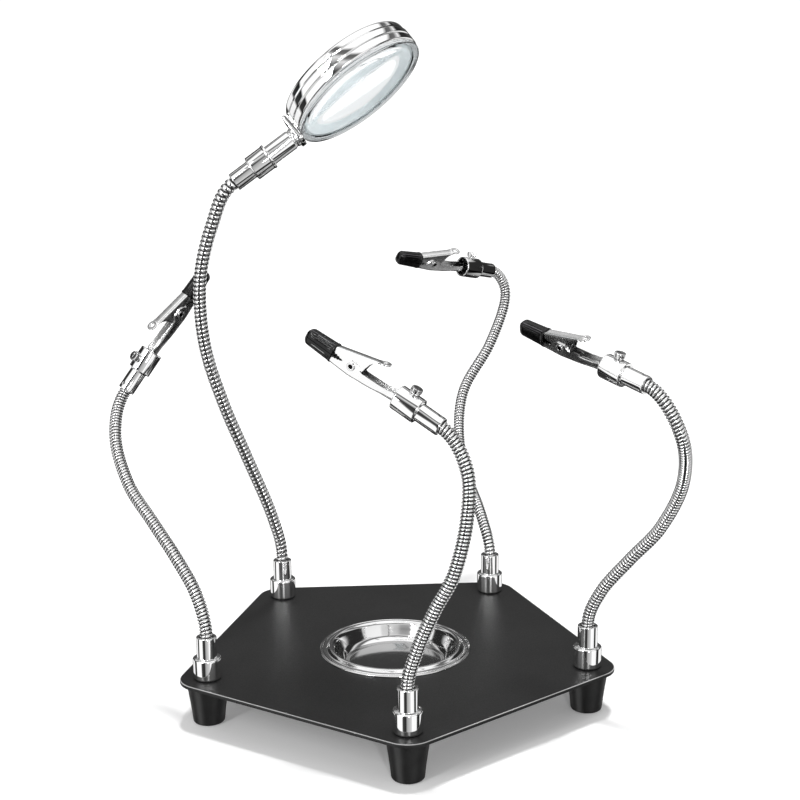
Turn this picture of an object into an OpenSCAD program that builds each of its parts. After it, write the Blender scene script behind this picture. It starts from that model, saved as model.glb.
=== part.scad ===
// Helping hands stand: a five-sided base with five bendable necks.
// Four necks end in alligator clips and one ends in a round magnifier.
// Origin at the centre of the base on the floor, +Z up, one corner towards -Y. Millimetres.

/* [Base] */
// Distance from the centre to each arm socket
socket_ring_r = 105; // [95:1:130]
// Radius of the round corners of the plate
corner_r = 14.5; // [12:0.5:20]
// Thickness of the plate
plate_t = 2; // [1.6:0.2:4]

/* [Feet] */
// Height of each rubber foot
foot_h = 22; // [16:1:30]
// Radius of a foot at the plate
foot_top_r = 11; // [9.5:0.5:14]
// Radius of a foot at the floor
foot_bottom_r = 8.2; // [7:0.1:11]
// Radius of the rounded edge at the floor
foot_edge_r = 1.2; // [0.5:0.1:2]
// Radius of the screw that holds foot, plate and socket together
foot_screw_r = 2.5; // [2:0.1:3]
// Radius of the screw head
foot_head_r = 4.2; // [3.6:0.1:5]
// Gap around the head in its hole
foot_head_gap = 0.5; // [0.2:0.1:0.8]
// Gap around the shank in the foot and the plate
foot_screw_gap = 0.2; // [0.1:0.05:0.4]
// Height of the screw head
foot_head_h = 3; // [2:0.2:4]
// Depth of the hole for the head in the foot
foot_recess_h = 6; // [5:0.5:9]
// How far the screw reaches into the socket
foot_screw_reach = 8; // [6:0.5:9]
// Thickness of the washer under the head
washer_t = 1; // [0.6:0.2:1.6]

/* [Arm sockets] */
// How much wider the lower part of a socket is than its upper part
socket_step = 2.2; // [1.8:0.1:3.5]
// Height of the lower part
socket_h = 11.5; // [9:0.5:16]
// Wall of the upper part, where the neck goes in
ferrule_wall = 1.75; // [1.25:0.05:2.5]
// Height of the upper part
ferrule_h = 11.5; // [9:0.5:16]
// Depth of the neck in the socket
neck_seat = 11; // [8:0.5:12]

/* [Necks] */
// Radius of the spiral-wound neck
neck_r = 3.5; // [3:0.1:4.2]
// Gap around a neck in its bores
neck_gap = 0.05; // [0.02:0.01:0.1]
// Gap between two stretches of neck at a bend
bend_gap = 0.15; // [0.1:0.05:0.4]

/* [Tip holders] */
// Wall of the part of a holder that takes the neck
holder_wall = 1.1; // [0.9:0.05:1.6]
// Length of that part on a clip holder
holder_neck_len = 13; // [11:0.5:18]
// Radius of the collar that takes the clip or the lens stem
collar_r = 6.3; // [5.8:0.1:7.5]
// Length of a clip holder's collar
collar_len = 13; // [12:0.5:18]
// Depth of the wide mouth of the collar
cup_depth = 5; // [3:0.5:5]
// Wall of the collar at the wide mouth
cup_wall = 0.9; // [0.7:0.1:2]
// Depth of the neck in its holder
holder_seat = 9; // [6:0.5:9]
// Length of the lens holder's neck part and of its collar, each
lens_holder_half = 11; // [10:0.5:14]
// Running gap of the parts that turn in a bore
turn_gap = 0.06; // [0.03:0.01:0.1]

/* [Thumbscrews] */
// Radius of the thumbscrew's shank
screw_r = 1.5; // [1.2:0.1:1.8]
// Radius of its head
screw_head_r = 2.9; // [2.4:0.1:3.2]
// Height of its head
screw_head_h = 3; // [2.5:0.1:4.5]
// Gap between the collar and the head
screw_lift = 0.4; // [0.2:0.1:2]
// Number of grip notches around the head
screw_notches = 12; // [8:1:16]

/* [Clips] */
// Length of a clip from the collar to the nose of its sleeves
clip_len = 54; // [50:1:60]
// Distance from the nose back to the pivot rivet
nose_to_rivet = 28; // [26:0.5:30]
// Outer width of the lower jaw
jaw_w = 6.6; // [6:0.1:7]
// Thickness of the jaws' sheet metal
sheet_t = 0.6; // [0.5:0.05:0.7]
// Side gap between the two jaws
jaw_gap = 0.1; // [0.05:0.01:0.15]
// Radius of the round tail that sits in the collar
tail_r = 3.2; // [2.9:0.1:3.3]
// Radius of the hole in the tail
tail_bore_r = 2; // [1.5:0.1:2.2]
// Radius of the pivot rivet
rivet_r = 1.6; // [1.3:0.1:2.1]
// Radius of the hole through the rivet
rivet_bore_r = 0.9; // [0.6:0.1:1]
// Radius of the spring wire
wire_r = 0.35; // [0.3:0.05:0.4]
// Length of the vinyl sleeves
sleeve_len = 17; // [15:0.5:19]
// Side wall of the sleeves
sleeve_wall = 0.6; // [0.5:0.05:1]
// Gap between the two sleeves when the clip is shut
sleeve_gap = 0.3; // [0.2:0.1:0.6]

/* [Magnifier] */
// Outer radius of the bezel
bezel_r = 36.5; // [32:0.5:45]
// Height of the bezel
bezel_h = 12.2; // [10:0.2:16]
// Wall of the bezel
bezel_wall = 3.2; // [2.6:0.1:4]
// Height of the clear rim below the bezel
lens_rim_h = 2.4; // [1.5:0.1:3]
// Thickness of the lens at its edge, inside the bezel
lens_edge_t = 3; // [2:0.2:4]
// How far each face of the lens bulges
lens_bulge = 2.6; // [1.5:0.1:3.5]
// Wall of the collar around the lens stem
stem_wall = 1.3; // [1.1:0.05:1.8]
// Length of the stem outside its collar
stem_len = 16; // [12:1:22]
// Depth of the stem in its collar
stem_seat = 7.5; // [6:0.5:9]
// Thickness of the bracket between stem and bezel
bracket_t = 2; // [1.5:0.1:3]
// Width of the bracket
bracket_w = 12; // [9:0.5:15]

/* [Parts tray] */
// Outer radius of the tray's rim
tray_r = 41; // [36:0.5:48]
// Width of the rolled rim
tray_rim_w = 9; // [7:0.5:12]
// Width of the sloping wall
tray_slope_w = 4; // [2:0.5:6]
// Depth of the floor below the top of the plate
tray_depth = 8; // [5:0.5:12]
// Height of the rolled rim above the plate
tray_rim_h = 2.6; // [2:0.1:4]
// Thickness of the tray's sheet metal
tray_t = 0.7; // [0.5:0.1:1]
// Gap between the tray and its hole in the plate
tray_gap = 0.8; // [0.5:0.1:1.5]

/* [Hidden] */
$fn = 48;

// The arms, counted around the base from the front corner.
FRONT = 0;
RIGHT = 1;
BACK_RIGHT = 2;
BACK_LEFT = 3;
LEFT = 4;
ARMS = [FRONT, RIGHT, BACK_RIGHT, BACK_LEFT, LEFT];

// Each neck's route from the mouth of its socket to its holder, as bent at rest.
ROUTES = [
    [[0, 0, 0], [5, -1, 20], [13, -3, 40], [22, -4, 58], [28, -3, 84], [28, 0, 108], [17, 8, 126]],
    [[0, 0, 0], [6, -4, 20], [19, -12, 40], [32, -22, 60], [39, -37, 88], [33, -53, 117], [18, -44, 139]],
    [
        [0, 0, 0], [-4, 15, 21], [-9, 41, 35], [-12, 65, 54],
        [-7, 87, 80], [12, 107, 106], [24, 125, 134], [14, 121, 151]
    ],
    [
        [0, 0, 0], [-5, -10, 30], [-18, -30, 72], [-29, -47, 107],
        [-37, -63, 143], [-37, -82, 180], [-29, -97, 211], [-17, -106, 233]
    ],
    [[0, 0, 0], [-5, 8, 20], [-16, 22, 36], [-29, 38, 51], [-43, 57, 67], [-51, 77, 89], [-46, 94, 110]]
];
// How the holder at the end of each neck is turned: roll, then tilt, then heading, in degrees.
TIP_TURNS = [[0, -29, 151], [0, -14, 133], [0, -12, -144], [-28, -35, 8], [25, -53, 18]];
// How far each clip is swivelled in its holder at rest.
CLIP_TURNS = [0, -20, -30, 0, 0];
// Points of a route at which the neck bends in use.
LOW_BEND = 1;
HIGH_BEND = 4;
// Rings for each span of a route, sides of a neck, and rings of its round end.
SPAN_RINGS = 4;
NECK_SIDES = 12;
END_RINGS = 4;
// Sides of the spring wire.
WIRE_SIDES = 6;

top_z = foot_h + plate_t;
mouth_z = top_z + socket_h + ferrule_h;
neck_bore_r = neck_r + neck_gap;
ferrule_r = neck_bore_r + ferrule_wall;
socket_r = ferrule_r + socket_step;
holder_neck_r = neck_bore_r + holder_wall;
cup_r = collar_r - cup_wall;
neck_cut = neck_r + bend_gap;
clip_x = holder_neck_len + collar_len;
rivet_x = clip_len - nose_to_rivet;
rivet_z = 0.4;
tail_len = collar_len - 2;
screw_x = holder_neck_len + collar_len - cup_depth - screw_r - 0.5;
inner_w = jaw_w - 2 * sheet_t;
upper_w = inner_w - 2 * jaw_gap;
sleeve_w = jaw_w + 2 * sleeve_wall;
stem_r = collar_r - stem_wall;
stem_x = 2 * lens_holder_half;
bezel_x = stem_x + stem_len + bracket_t + bezel_r;
lens_r = bezel_r - bezel_wall;
tray_mouth_r = tray_r - tray_rim_w;
tray_floor_r = tray_mouth_r - tray_slope_w;
well_r = tray_mouth_r + tray_t;

function unit(v) = v / norm(v);
function socket_at(arm) =
    let(turn = -90 + 72 * arm) [socket_ring_r * cos(turn), socket_ring_r * sin(turn), 0];
function tip_dir(arm) =
    let(tilt = -TIP_TURNS[arm][1], heading = TIP_TURNS[arm][2])
    [cos(tilt) * cos(heading), cos(tilt) * sin(heading), sin(tilt)];
function last(list) = len(list) - 1;

// Direction and speed of a route at one of its points.
function slope(arm, i) =
    let(p = ROUTES[arm])
    i == 0 ? [0, 0, norm(p[1])]
    : i == last(p) ? tip_dir(arm) * norm(p[i] - p[i - 1])
    : (p[i + 1] - p[i - 1]) / 2;

// A smooth curve through a route's points, and its direction there.
function curve_at(arm, s) =
    let(i = min(floor(s), last(ROUTES[arm]) - 1), t = s - i, a = ROUTES[arm][i], b = ROUTES[arm][i + 1])
    a * (2 * t ^ 3 - 3 * t ^ 2 + 1) + slope(arm, i) * (t ^ 3 - 2 * t ^ 2 + t)
    + b * (3 * t ^ 2 - 2 * t ^ 3) + slope(arm, i + 1) * (t ^ 3 - t ^ 2);
function curve_dir(arm, s) =
    let(step = 0.01, low = max(s - step, 0), high = min(s + step, last(ROUTES[arm])))
    unit(curve_at(arm, high) - curve_at(arm, low));

// A stretch of a route as [centre, direction, radius] rings between two of its points.
function stretch(arm, from, to) = [
    for (i = [1 : (to - from) * SPAN_RINGS - 1])
        let(s = from + i / SPAN_RINGS) [curve_at(arm, s), curve_dir(arm, s), neck_r]
];
function round_start(arm, at) = [
    for (i = [END_RINGS : -1 : 0])
        let(q = 80 * i / END_RINGS, d = unit(slope(arm, at)))
        [ROUTES[arm][at] - d * neck_r * sin(q), d, neck_r * cos(q)]
];
function cut_end(arm, at) =
    let(d = unit(slope(arm, at))) [[ROUTES[arm][at] - d * neck_cut, d, neck_r]];

// The sideways direction of each ring, carried along the neck without twist.
function carried(rings, side, i = 0) =
    i == len(rings) ? []
    : let(d = rings[i][1], v = unit(side - d * (side * d))) concat([v], carried(rings, v, i + 1));

// Rings of one radius along a list of points.
function ringed(points, r) = [
    for (i = [0 : last(points)])
        let(next = points[min(i + 1, last(points))], previous = points[max(i - 1, 0)])
        [points[i], unit(next - previous), r]
];

// A round tube through a list of rings.
module tube(rings, round_sides = NECK_SIDES) {
    sides = carried(rings, [1, 0.2, 0]);
    count = len(rings);
    points = [
        for (i = [0 : count - 1])
            let(u = sides[i], w = cross(rings[i][1], u))
            for (k = [0 : round_sides - 1])
                let(turn = 360 * k / round_sides)
                rings[i][0] + rings[i][2] * (u * cos(turn) + w * sin(turn))
    ];
    walls = [
        for (i = [0 : count - 2])
            for (k = [0 : round_sides - 1])
                let(n = (k + 1) % round_sides, a = i * round_sides, b = a + round_sides)
                for (face = [[a + k, b + k, a + n], [a + n, b + k, b + n]]) face
    ];
    start = [for (k = [0 : round_sides - 1]) k];
    end = [for (k = [round_sides - 1 : -1 : 0]) (count - 1) * round_sides + k];
    polyhedron(points, concat(walls, [start], [end]));
}

module at_sockets() {
    for (arm = ARMS) translate(socket_at(arm)) children();
}
module at_mouth(arm) {
    translate(socket_at(arm) + [0, 0, mouth_z]) children();
}
module at_tip(arm) {
    at_mouth(arm) translate(ROUTES[arm][last(ROUTES[arm])]) rotate(TIP_TURNS[arm]) children();
}
module at_clip(arm) {
    at_tip(arm) translate([clip_x, 0, 0]) rotate([CLIP_TURNS[arm], 0, 0]) children();
}
// A round bar or hole along +X, from x to x + len.
module bar_x(x, len, r) {
    translate([x, 0, 0]) rotate([0, 90, 0]) cylinder(h = len, r = r);
}
// A side outline in X and Z, made w wide about the middle.
module side_sheet(outline, w) {
    rotate([90, 0, 0]) translate([0, 0, -w / 2]) linear_extrude(w) polygon(outline);
}
// A bar along Y through the rivet's centre.
module rivet_bar(r, w) {
    translate([rivet_x, 0, rivet_z]) rotate([90, 0, 0]) cylinder(h = w, r = r, center = true);
}

module base_plate() {
    color([0.06, 0.06, 0.065])
    difference() {
        translate([0, 0, foot_h])
            linear_extrude(plate_t) hull() at_sockets() circle(r = corner_r);
        at_sockets() translate([0, 0, foot_h - 1])
            cylinder(h = plate_t + 2, r = foot_screw_r + foot_screw_gap);
        translate([0, 0, foot_h - 1]) cylinder(h = plate_t + 2, r = well_r + tray_gap, $fn = 96);
    }
}

module rubber_feet() {
    flare = foot_top_r - foot_bottom_r;
    edge_at = foot_bottom_r - foot_edge_r;
    hole_r = foot_screw_r + foot_screw_gap;
    head_hole_r = foot_head_r + foot_head_gap;
    edge = [for (q = [-90 : 15 : 0]) [edge_at + foot_edge_r * cos(q), foot_edge_r * (1 + sin(q))]];
    color([0.05, 0.05, 0.05])
    at_sockets() rotate_extrude()
        polygon(concat(
            [[head_hole_r, 0]],
            edge,
            [
                [foot_bottom_r + flare * 0.25, foot_h * 0.3],
                [foot_bottom_r + flare * 0.57, foot_h * 0.6],
                [foot_top_r, foot_h - 0.8],
                [foot_top_r - 0.6, foot_h],
                [hole_r, foot_h],
                [hole_r, foot_recess_h],
                [head_hole_r, foot_recess_h]
            ]
        ));
}

module foot_washers() {
    color([0.7, 0.7, 0.72])
    at_sockets() translate([0, 0, foot_recess_h - washer_t])
        difference() {
            cylinder(h = washer_t, r = foot_head_r);
            translate([0, 0, -1]) cylinder(h = washer_t + 2, r = foot_screw_r + 0.1);
        }
}

module foot_screws() {
    head_z = foot_recess_h - washer_t - foot_head_h;
    color([0.7, 0.7, 0.72])
    at_sockets() translate([0, 0, head_z])
        difference() {
            union() {
                cylinder(h = foot_head_h, r = foot_head_r - 0.2);
                cylinder(h = top_z + foot_screw_reach - head_z, r = foot_screw_r);
            }
            translate([0, 0, -1]) cylinder(h = foot_head_h - 0.5, r = 1.8, $fn = 6);
        }
}

module arm_sockets() {
    shoulder = [for (q = [0 : 15 : 90]) [socket_r - 1.5 + 1.5 * cos(q), socket_h - 1.5 + 1.5 * sin(q)]];
    floor_z = socket_h + ferrule_h - neck_seat - 0.5;
    color([0.8, 0.8, 0.82])
    at_sockets() translate([0, 0, top_z]) rotate_extrude()
        polygon(concat(
            [[foot_screw_r + 0.05, 0], [socket_r - 0.3, 0], [socket_r, 0.3]],
            shoulder,
            [
                [ferrule_r, socket_h],
                [ferrule_r, socket_h + ferrule_h - 0.5],
                [ferrule_r - 0.5, socket_h + ferrule_h],
                [neck_bore_r, socket_h + ferrule_h],
                [neck_bore_r, floor_z],
                [0, floor_z],
                [0, foot_screw_reach + 0.5],
                [foot_screw_r + 0.05, foot_screw_reach + 0.5]
            ]
        ));
}

module neck_roots() {
    color([0.72, 0.72, 0.74])
    for (arm = ARMS) at_mouth(arm)
        tube(concat(
            [[[0, 0, -neck_seat], [0, 0, 1], neck_r], [[0, 0, 0], [0, 0, 1], neck_r]],
            stretch(arm, 0, LOW_BEND),
            cut_end(arm, LOW_BEND)
        ));
}
module neck_mid(arm) {
    color([0.72, 0.72, 0.74])
    at_mouth(arm)
        tube(concat(
            round_start(arm, LOW_BEND),
            stretch(arm, LOW_BEND, HIGH_BEND),
            cut_end(arm, HIGH_BEND)
        ));
}
module neck_top(arm) {
    end = last(ROUTES[arm]);
    d = tip_dir(arm);
    color([0.72, 0.72, 0.74])
    at_mouth(arm)
        tube(concat(
            round_start(arm, HIGH_BEND),
            stretch(arm, HIGH_BEND, end),
            [[ROUTES[arm][end], d, neck_r], [ROUTES[arm][end] + d * holder_seat, d, neck_r]]
        ));
}

module parts_tray() {
    crown_r = (tray_r + tray_mouth_r) / 2;
    crown_w = crown_r - tray_mouth_r;
    under_w = crown_r - well_r;
    under_h = tray_rim_h - tray_t;
    crown = [for (q = [180 : -15 : 20]) [crown_r + crown_w * cos(q), tray_rim_h * sin(q)]];
    under = [for (q = [20 : 15 : 180]) [crown_r + under_w * cos(q), under_h * sin(q)]];
    color([0.75, 0.76, 0.78])
    translate([0, 0, top_z]) rotate_extrude($fn = 96)
        polygon(concat(
            [[0, -tray_depth], [0, tray_t - tray_depth], [tray_floor_r - 1, tray_t - tray_depth]],
            [[tray_floor_r + 1, 2 * tray_t - tray_depth]],
            crown,
            [[tray_r - 0.3, tray_t], [tray_r, tray_t / 2], [tray_r - 0.3, 0]],
            [[well_r + tray_gap + 1.5, 0]],
            [for (p = under) if (p[0] < well_r + tray_gap + 1.2) p],
            [[tray_floor_r + 1 + tray_t, tray_t - tray_depth], [tray_floor_r, -tray_depth]]
        ));
}

module clip_holder(arm) {
    color([0.8, 0.8, 0.82])
    at_tip(arm) difference() {
        union() {
            bar_x(0, holder_neck_len + 1, holder_neck_r);
            bar_x(holder_neck_len, collar_len, collar_r);
        }
        bar_x(-1, holder_seat + 1.2, neck_bore_r);
        bar_x(clip_x - tail_len - 0.3, tail_len + 1, tail_r + turn_gap);
        bar_x(clip_x - cup_depth, cup_depth + 1, cup_r);
        translate([screw_x, 0, 0]) cylinder(h = collar_r + 2, r = screw_r + turn_gap);
    }
}

module lens_holder() {
    color([0.8, 0.8, 0.82])
    at_tip(BACK_LEFT) difference() {
        union() {
            bar_x(0, lens_holder_half + 1, holder_neck_r);
            bar_x(lens_holder_half, lens_holder_half - 1, collar_r);
            bar_x(stem_x - 1.2, 1.2, collar_r + 0.3);
        }
        bar_x(-1, holder_seat + 1.2, neck_bore_r);
        bar_x(stem_x - stem_seat - 0.3, stem_seat + 1, stem_r + turn_gap);
    }
}

module thumbscrew(arm) {
    head_z = collar_r + screw_lift;
    slot_w = 0.8;
    slot_z = head_z + screw_head_h - 0.9;
    color([0.82, 0.82, 0.84])
    at_tip(arm) translate([screw_x, 0, 0]) difference() {
        union() {
            translate([0, 0, tail_r + 0.3]) cylinder(h = head_z - tail_r, r = screw_r);
            translate([0, 0, head_z]) cylinder(h = screw_head_h, r = screw_head_r);
        }
        for (k = [0 : screw_notches - 1])
            rotate([0, 0, 360 * k / screw_notches]) translate([screw_head_r + 0.2, 0, head_z + 0.6])
                cylinder(h = screw_head_h, r = 0.5, $fn = 16);
        translate([-screw_head_r - 1, -slot_w / 2, slot_z]) cube([2 * screw_head_r + 2, slot_w, 2]);
    }
}

function lower_outline() = [
    [0.5, -tail_r], [8, -tail_r], [rivet_x - 8, -4.2], [rivet_x, -4.8], [rivet_x + 9, -4.4],
    [clip_len - 3, -1.9], [clip_len - 3, -0.7], [rivet_x + 11, -1.3], [rivet_x + 8, -0.9],
    [rivet_x + 4, 1.6], [rivet_x + 2.2, 3.1],
    [rivet_x - 2.2, 3.1], [rivet_x - 4.6, 0.6], [8, 0.8], [0.5, 2]
];
function lower_channel() = [
    [4, sheet_t - tail_r], [8, sheet_t - tail_r], [rivet_x - 8, sheet_t - 4.2], [rivet_x, sheet_t - 4.8],
    [rivet_x + 9, sheet_t - 4.4], [clip_len - 5, -1.8], [clip_len - 5, 8], [4, 8]
];
module lower_jaw(arm) {
    color([0.78, 0.78, 0.8])
    at_clip(arm) difference() {
        union() {
            side_sheet(lower_outline(), jaw_w);
            bar_x(-tail_len, tail_len + 3, tail_r);
        }
        side_sheet(lower_channel(), inner_w);
        bar_x(-tail_len - 1, tail_len, tail_bore_r);
        rivet_bar(rivet_r, jaw_w + 2);
    }
}

// The lever is straight from the sleeve to its round tail pad.
lever_low = [rivet_x + 12, 4.1];
lever_high = [rivet_x - 13, 10.6];
lever_slope = atan((lever_high[1] - lever_low[1]) / (lever_low[0] - lever_high[0]));
pad_r = 3.1;
pad_hole_r = 1.3;
function upper_outline() = [
    [clip_len - 3, 0.7], [clip_len - 3, 1.9], lever_low, lever_high, lever_high - [0.2, 0.7],
    [rivet_x - 9.2, 8.2], [rivet_x - 7.6, 6.4], [rivet_x - 6.6, 3.8], [rivet_x - 5.6, 0.8],
    [rivet_x - 4.4, -1.2], [rivet_x - 2, -2.4], [rivet_x + 1, -2.3], [rivet_x + 3.5, -1.1],
    [rivet_x + 5.5, 0.2], [rivet_x + 11, 1.3]
];
function upper_channel() =
    let(under = [0, -sheet_t / cos(lever_slope)], ahead = [-3, 3 * tan(lever_slope)])
    [
        [clip_len - 7, 1.6], lever_low + under, lever_high + under + ahead,
        [rivet_x - 16, -4], [clip_len - 7, -4]
    ];
module at_tail_pad() {
    translate([lever_high[0], 0, lever_high[1]]) rotate([0, lever_slope, 0]) translate([-0.4, 0, -sheet_t])
        children();
}
module upper_jaw(arm) {
    color([0.8, 0.8, 0.82])
    at_clip(arm) difference() {
        union() {
            side_sheet(upper_outline(), upper_w);
            at_tail_pad() cylinder(h = sheet_t, r = pad_r);
        }
        side_sheet(upper_channel(), upper_w - 2 * sheet_t);
        rivet_bar(rivet_r + turn_gap, jaw_w + 2);
        at_tail_pad() translate([0, 0, -1]) cylinder(h = sheet_t + 2, r = pad_hole_r);
    }
}

module jaw_rivet(arm) {
    color([0.75, 0.75, 0.77])
    at_clip(arm) difference() {
        union() {
            rivet_bar(rivet_r, jaw_w + 1.2);
            for (side = [-1, 1])
                translate([0, side * (jaw_w / 2 + 0.3), 0]) rivet_bar(rivet_r + 0.5, 0.6);
        }
        rivet_bar(rivet_bore_r, jaw_w + 4);
    }
}

// The spring's wire: one leg along the lower jaw, a coil around the rivet and a short leg under the lever.
module jaw_spring(arm) {
    coil_r = rivet_r + wire_r + 0.3;
    pitch = 2 * wire_r + 0.25;
    coil = [for (q = [-90 : 22.5 : 810]) [coil_r * cos(q), pitch * (q - 360) / 360, coil_r * sin(q)]];
    low_leg = [[-9, coil[0][1], -coil_r - 0.5], [-4.5, coil[0][1], -coil_r - 0.25]];
    high_leg = [[-2, coil[last(coil)][1], coil_r + 0.6], [-4, coil[last(coil)][1], coil_r + 1.6]];
    color([0.6, 0.6, 0.62])
    at_clip(arm) translate([rivet_x, 0, rivet_z])
        tube(ringed(concat(low_leg, coil, high_leg), wire_r), WIRE_SIDES);
}

// The outside of a sleeve on the upper jaw.
module sleeve_shell() {
    rear_x = clip_len - sleeve_len;
    hull() {
        for (side = [-1, 1]) {
            translate([rear_x, side * (sleeve_w / 2 - 0.5), sleeve_gap / 2])
                cylinder(h = 1.6, r = 0.5, $fn = 16);
            translate([rear_x + 0.2, side * (sleeve_w / 2 - 1.9), 3.2]) sphere(r = 1.7, $fn = 16);
            translate([clip_len - 1.6, side * (sleeve_w / 2 - 1.5), sleeve_gap / 2])
                cylinder(h = 1, r = 1.2, $fn = 16);
            translate([clip_len - 2.2, side * (sleeve_w / 2 - 2), 2.4]) sphere(r = 1.5, $fn = 16);
        }
    }
}
module upper_sleeve(arm) {
    color([0.05, 0.05, 0.055])
    at_clip(arm) difference() {
        sleeve_shell();
        side_sheet(upper_outline(), upper_w);
    }
}
module lower_sleeve(arm) {
    color([0.05, 0.05, 0.055])
    at_clip(arm) difference() {
        mirror([0, 0, 1]) sleeve_shell();
        side_sheet(lower_outline(), jaw_w);
    }
}

module lens_stem() {
    color([0.8, 0.8, 0.82])
    at_tip(BACK_LEFT) bar_x(stem_x - stem_seat, stem_seat + stem_len, stem_r);
}
module lens_bracket() {
    color([0.78, 0.78, 0.8])
    at_tip(BACK_LEFT) difference() {
        translate([stem_x + stem_len, -bracket_w / 2, -stem_r])
            cube([bracket_t + 1.5, bracket_w, stem_r + bezel_h - 1.5]);
        translate([bezel_x, 0, -stem_r - 1]) cylinder(h = stem_r + bezel_h + 2, r = bezel_r, $fn = 96);
    }
}
module lens_bezel() {
    band = bezel_h / 3;
    color([0.82, 0.82, 0.84])
    at_tip(BACK_LEFT) translate([bezel_x, 0, 0]) rotate_extrude($fn = 96)
        polygon([
            [lens_r, 0], [bezel_r - 0.4, 0], [bezel_r, 0.4], [bezel_r, band - 0.2], [bezel_r - 0.4, band],
            [bezel_r, band + 0.2], [bezel_r, 2 * band - 0.2], [bezel_r - 0.7, 2 * band],
            [bezel_r - 0.6, 3 * band - 0.6], [bezel_r - 1.2, bezel_h], [lens_r, bezel_h]
        ]);
}
module lens_retainer() {
    color([0.5, 0.5, 0.52])
    at_tip(BACK_LEFT) translate([bezel_x, 0, lens_edge_t]) difference() {
        cylinder(h = 1.6, r = lens_r, $fn = 96);
        translate([0, 0, -1]) cylinder(h = 4, r = lens_r - 1.6, $fn = 96);
    }
}
// Half outline of one bulging face of the lens, from the middle out, above its edge.
function lens_face() =
    let(edge_r = lens_r - 1.8, ball_r = (edge_r ^ 2 + lens_bulge ^ 2) / (2 * lens_bulge))
    let(reach = asin(edge_r / ball_r))
    [for (i = [0 : 10]) let(q = reach * i / 10) [ball_r * sin(q), lens_bulge - ball_r * (1 - cos(q))]];
module lens() {
    face = lens_face();
    color([0.85, 0.9, 0.92, 0.35])
    at_tip(BACK_LEFT) translate([bezel_x, 0, 0]) rotate_extrude($fn = 96)
        polygon(concat(
            [for (p = face) [p[0], lens_edge_t + p[1]]],
            [[lens_r, lens_edge_t], [lens_r, 0], [bezel_r - 0.4, 0], [bezel_r - 0.4, -lens_rim_h]],
            [for (i = [last(face) : -1 : 0]) [face[i][0], -lens_rim_h - face[i][1]]]
        ));
}

base_plate();
rubber_feet();
foot_washers();
foot_screws();
arm_sockets();
neck_roots();
parts_tray();
neck_mid(FRONT);  // neck_mid_front
neck_mid(RIGHT);  // neck_mid_right
neck_mid(BACK_RIGHT);  // neck_mid_back_right
neck_mid(BACK_LEFT);  // neck_mid_back_left
neck_mid(LEFT);  // neck_mid_left
neck_top(FRONT);  // neck_top_front
neck_top(RIGHT);  // neck_top_right
neck_top(BACK_RIGHT);  // neck_top_back_right
neck_top(BACK_LEFT);  // neck_top_back_left
neck_top(LEFT);  // neck_top_left
clip_holder(FRONT);  // clip_holder_front
clip_holder(RIGHT);  // clip_holder_right
clip_holder(BACK_RIGHT);  // clip_holder_back_right
clip_holder(LEFT);  // clip_holder_left
lens_holder();
thumbscrew(FRONT);  // thumbscrew_front
thumbscrew(RIGHT);  // thumbscrew_right
thumbscrew(BACK_RIGHT);  // thumbscrew_back_right
thumbscrew(LEFT);  // thumbscrew_left
lower_jaw(FRONT);  // lower_jaw_front
lower_jaw(RIGHT);  // lower_jaw_right
lower_jaw(BACK_RIGHT);  // lower_jaw_back_right
lower_jaw(LEFT);  // lower_jaw_left
upper_jaw(FRONT);  // upper_jaw_front
upper_jaw(RIGHT);  // upper_jaw_right
upper_jaw(BACK_RIGHT);  // upper_jaw_back_right
upper_jaw(LEFT);  // upper_jaw_left
jaw_rivet(FRONT);  // jaw_rivet_front
jaw_rivet(RIGHT);  // jaw_rivet_right
jaw_rivet(BACK_RIGHT);  // jaw_rivet_back_right
jaw_rivet(LEFT);  // jaw_rivet_left
jaw_spring(FRONT);  // jaw_spring_front
jaw_spring(RIGHT);  // jaw_spring_right
jaw_spring(BACK_RIGHT);  // jaw_spring_back_right
jaw_spring(LEFT);  // jaw_spring_left
lower_sleeve(FRONT);  // lower_sleeve_front
lower_sleeve(RIGHT);  // lower_sleeve_right
lower_sleeve(BACK_RIGHT);  // lower_sleeve_back_right
lower_sleeve(LEFT);  // lower_sleeve_left
upper_sleeve(FRONT);  // upper_sleeve_front
upper_sleeve(RIGHT);  // upper_sleeve_right
upper_sleeve(BACK_RIGHT);  // upper_sleeve_back_right
upper_sleeve(LEFT);  // upper_sleeve_left
lens_stem();
lens_bracket();
lens_bezel();
lens_retainer();
lens();
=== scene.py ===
# Helping hands stand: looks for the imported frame. Sizes are in millimetres, turned to metres by MM.
import math

import bmesh
import bpy
import numpy as np
from mathutils import Matrix, Vector


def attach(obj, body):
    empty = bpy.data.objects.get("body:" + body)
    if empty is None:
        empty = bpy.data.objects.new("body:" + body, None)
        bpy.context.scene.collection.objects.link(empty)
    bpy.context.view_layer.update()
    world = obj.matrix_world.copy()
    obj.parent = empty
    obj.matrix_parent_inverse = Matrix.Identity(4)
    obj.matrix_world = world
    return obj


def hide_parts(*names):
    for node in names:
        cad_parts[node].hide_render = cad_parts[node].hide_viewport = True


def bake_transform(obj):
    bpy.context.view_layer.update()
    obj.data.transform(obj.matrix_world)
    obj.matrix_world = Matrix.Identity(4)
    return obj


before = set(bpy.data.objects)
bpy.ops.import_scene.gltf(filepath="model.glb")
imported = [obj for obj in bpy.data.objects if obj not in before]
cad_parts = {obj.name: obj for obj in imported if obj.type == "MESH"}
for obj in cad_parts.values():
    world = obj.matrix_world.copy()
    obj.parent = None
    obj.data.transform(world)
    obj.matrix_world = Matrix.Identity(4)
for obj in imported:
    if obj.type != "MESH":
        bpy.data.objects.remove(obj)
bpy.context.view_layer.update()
scene = bpy.context.scene
MM = 0.001

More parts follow.
